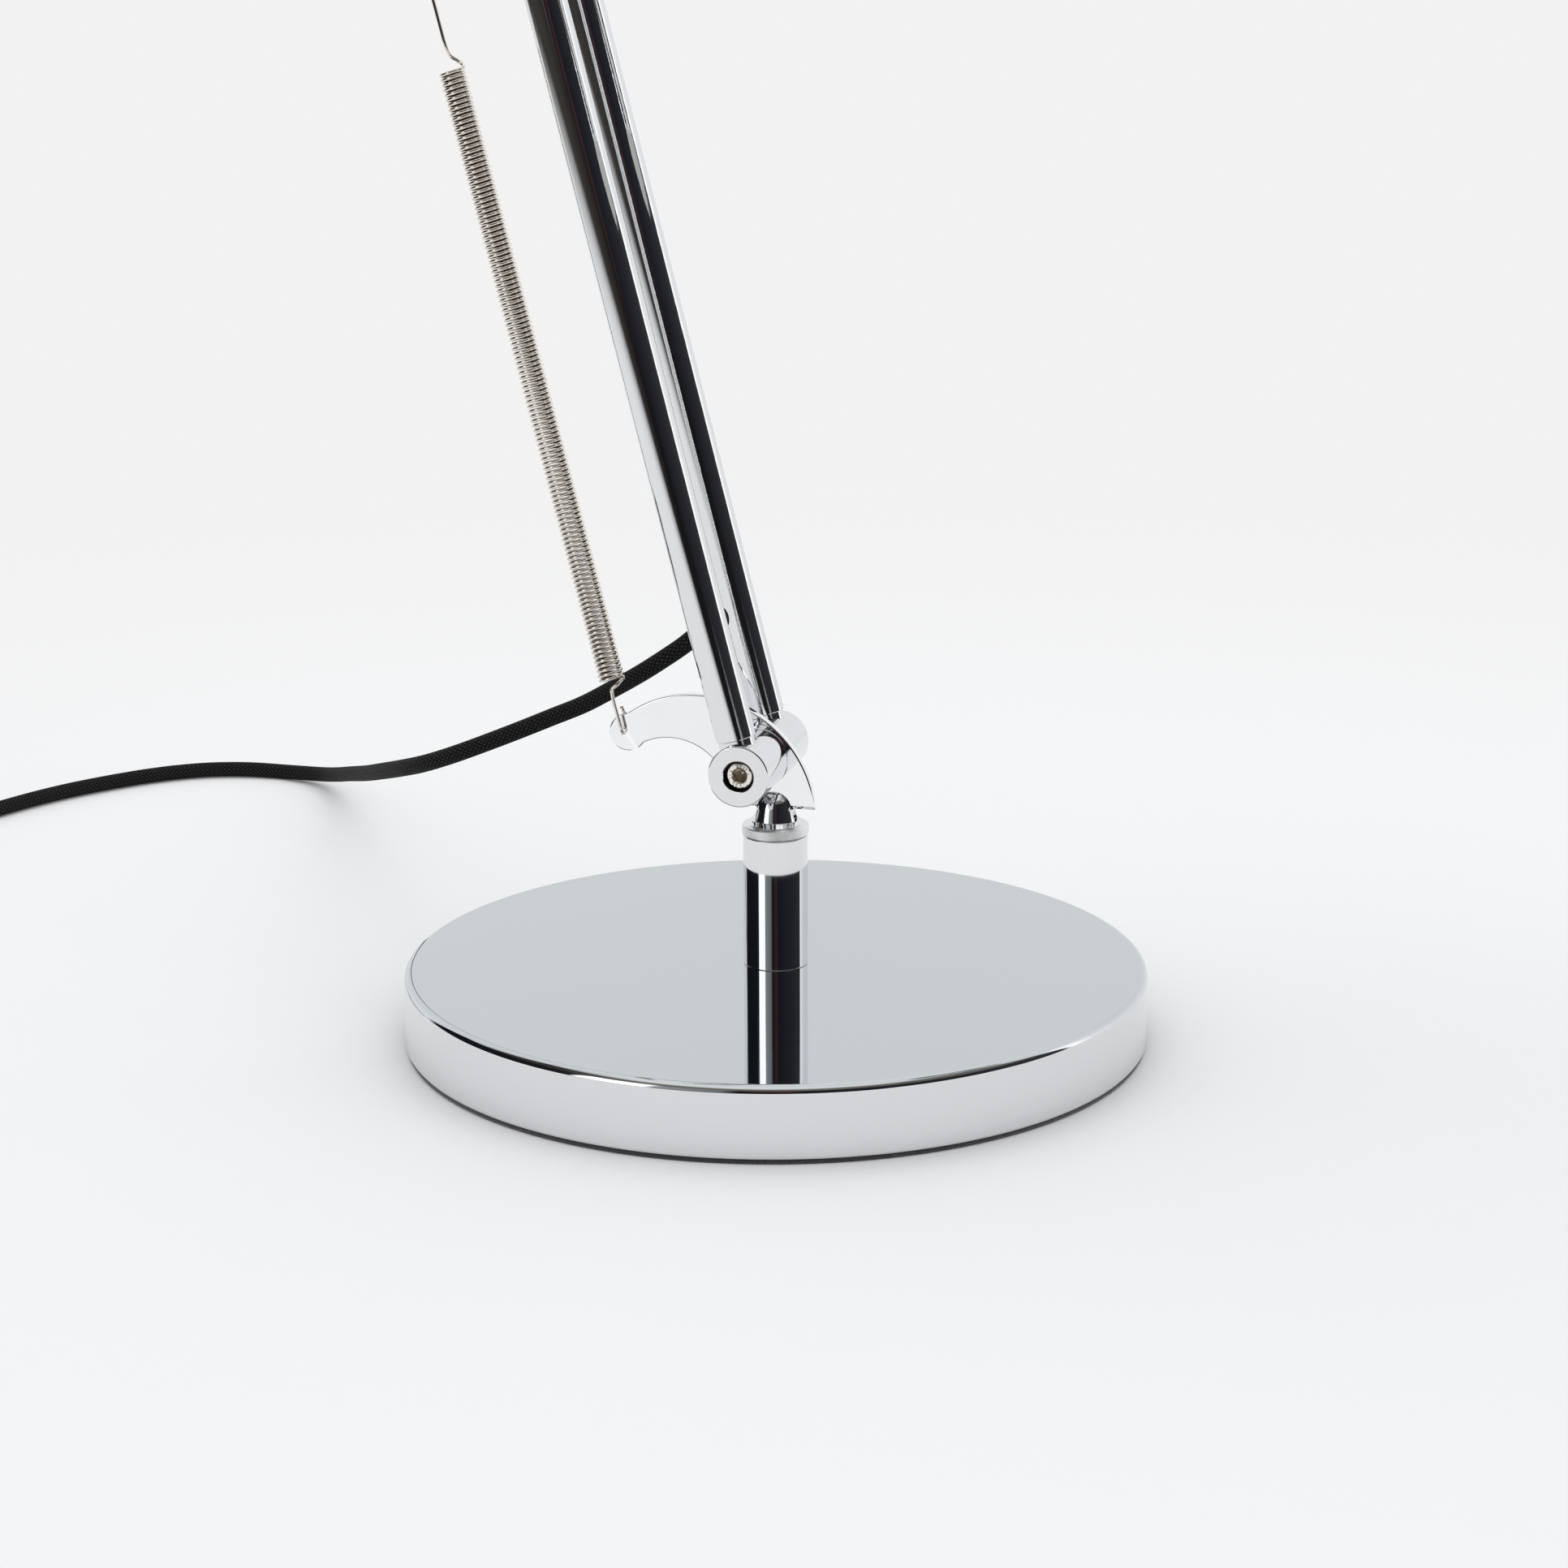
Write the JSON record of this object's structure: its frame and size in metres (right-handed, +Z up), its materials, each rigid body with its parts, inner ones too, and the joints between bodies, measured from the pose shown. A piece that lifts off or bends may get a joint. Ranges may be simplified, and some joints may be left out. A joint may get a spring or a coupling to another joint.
{
  "type": "sprung desk lamp",
  "caption": "Chromed sprung desk lamp: round weighted base, swivel post, twin-tube arms on crescent brackets, bell shade with push switch, cloth-covered cord.",
  "frame": {"origin": "middle of the round base's underside, on the table", "axes": "+Z up; the arms swing in the XZ plane; the lower arm leans to -X and the head hangs on +X; the free cord goes off to -X and +Y"},
  "size_m": [0.811, 0.4188, 0.5236],
  "materials": {
    "chrome": "polished chrome plate on steel",
    "iron": "cast iron, as cast",
    "felt": "black felt",
    "hardware": "zinc plated steel",
    "satin": "satin nickel on steel",
    "nickel": "nickel plated steel, slightly warm",
    "bush": "black rubber",
    "cord": "black woven cloth over rubber",
    "shade_metal": "spun aluminium, polished and plated, white inside",
    "holder_plastic": "white moulded thermoset",
    "opal_glass": "opal glass",
    "black_plastic": "black gloss"
  },
  "bodies": {
    "base": {"base_cover": "chrome", "base_weight": "iron", "base_felt": "felt", "post": "chrome", "post_rod": "hardware", "post_washer": "hardware", "post_nut": "hardware", "collar": "satin", "cord_run": "cord", "cord_coil": "cord", "cord_tie": "bush", "plug_body": "bush", "plug_pins": "hardware"},
    "neck": {"swivel_neck": "chrome", "neck_washer": "hardware", "neck_nut": "hardware", "lower_bracket": "chrome", "bracket_pin": "hardware", "lower_friction_washers": "hardware"},
    "lower_arm": {"lower_barrel_front": "chrome", "lower_barrel_rear": "chrome", "lower_tube_front": "chrome", "lower_tube_rear": "chrome", "elbow_barrel_front": "chrome", "elbow_barrel_rear": "chrome", "lower_arm_bolts": "nickel", "lower_arm_nuts": "hardware", "lower_cord_bushes": "bush", "lower_arm_cable": "cord", "cord_drop": "cord"},
    "upper_arm": {"elbow_bracket": "chrome", "elbow_friction_washers": "hardware", "root_barrels": "chrome", "root_spacers": "hardware", "upper_tube_front": "chrome", "upper_tube_rear": "chrome", "tip_barrels": "chrome", "upper_arm_bolts": "nickel", "upper_arm_nuts": "hardware", "upper_cord_bushes": "bush", "upper_arm_cable": "cord"},
    "head": {"head_bracket": "chrome", "head_friction_washers": "hardware", "head_neck": "chrome", "head_pin": "hardware", "head_nut": "hardware", "cap": "shade_metal", "cap_gland": "bush", "head_cable": "cord", "shade": "shade_metal", "shade_ring": "holder_plastic", "lampholder": "holder_plastic", "bulb_cap": "hardware", "bulb": "opal_glass", "switch_body": "black_plastic"},
    "button": {"switch_button": "black_plastic"},
    "spring_low": {"spring_hook": "nickel"},
    "spring_mid": {"spring_coil": "nickel"},
    "spring_top": {"spring_top_hook": "nickel"}
  },
  "joints": [
    {"name": "base_swivel", "type": "hinge", "parent": "base", "child": "neck", "pos_m": [0, 0, 0.0681], "axis": [0, 0, 1], "range_deg": [-90, 90]},
    {"name": "lower_arm_pivot", "type": "hinge", "parent": "neck", "child": "lower_arm", "pos_m": [-0.0051, 0, 0.0886], "axis": [0, 1, 0], "range_deg": [-15, 25], "deforming": ["cord_drop"]},
    {"name": "elbow_pivot", "type": "hinge", "parent": "lower_arm", "child": "upper_arm", "pos_m": [-0.09463, 0, 0.43729], "axis": [0, 1, 0], "range_deg": [-30, 30], "deforming": ["upper_arm_cable"]},
    {"name": "head_tilt", "type": "hinge", "parent": "upper_arm", "child": "head", "pos_m": [0.22193, 0, 0.5126], "axis": [0, 1, 0], "range_deg": [-50, 30], "deforming": ["head_cable"]},
    {"name": "switch_press", "type": "slide", "parent": "head", "child": "button", "axis": [0, 0, -1], "range_m": [0, 0.0025], "stiffness_N_per_m": 600},
    {"name": "spring_swing", "type": "hinge", "parent": "neck", "child": "spring_low", "pos_m": [-0.0477, 0, 0.0941], "axis": [0, 1, 0], "range_deg": [-16, 26.5], "deforming": ["spring_hook"]},
    {"name": "spring_stretch", "type": "slide", "parent": "spring_low", "child": "spring_mid", "axis": [-0.2487, 0, 0.9686], "range_m": [-0.0106, 0.0176], "deforming": ["spring_coil"]},
    {"name": "spring_top_turn", "type": "hinge", "parent": "spring_mid", "child": "spring_top", "pos_m": [-0.09463, 0, 0.43729], "axis": [0, 1, 0], "range_deg": [-30, 30], "deforming": ["spring_top_hook"]}
  ],
  "couplings": [
    {"joint": "spring_swing", "follows": "lower_arm_pivot", "ratio": 1.036},
    {"joint": "spring_stretch", "follows": "lower_arm_pivot", "m_per_rad": 0.0402},
    {"joint": "spring_top_turn", "follows": "elbow_pivot", "ratio": 1}
  ]
}
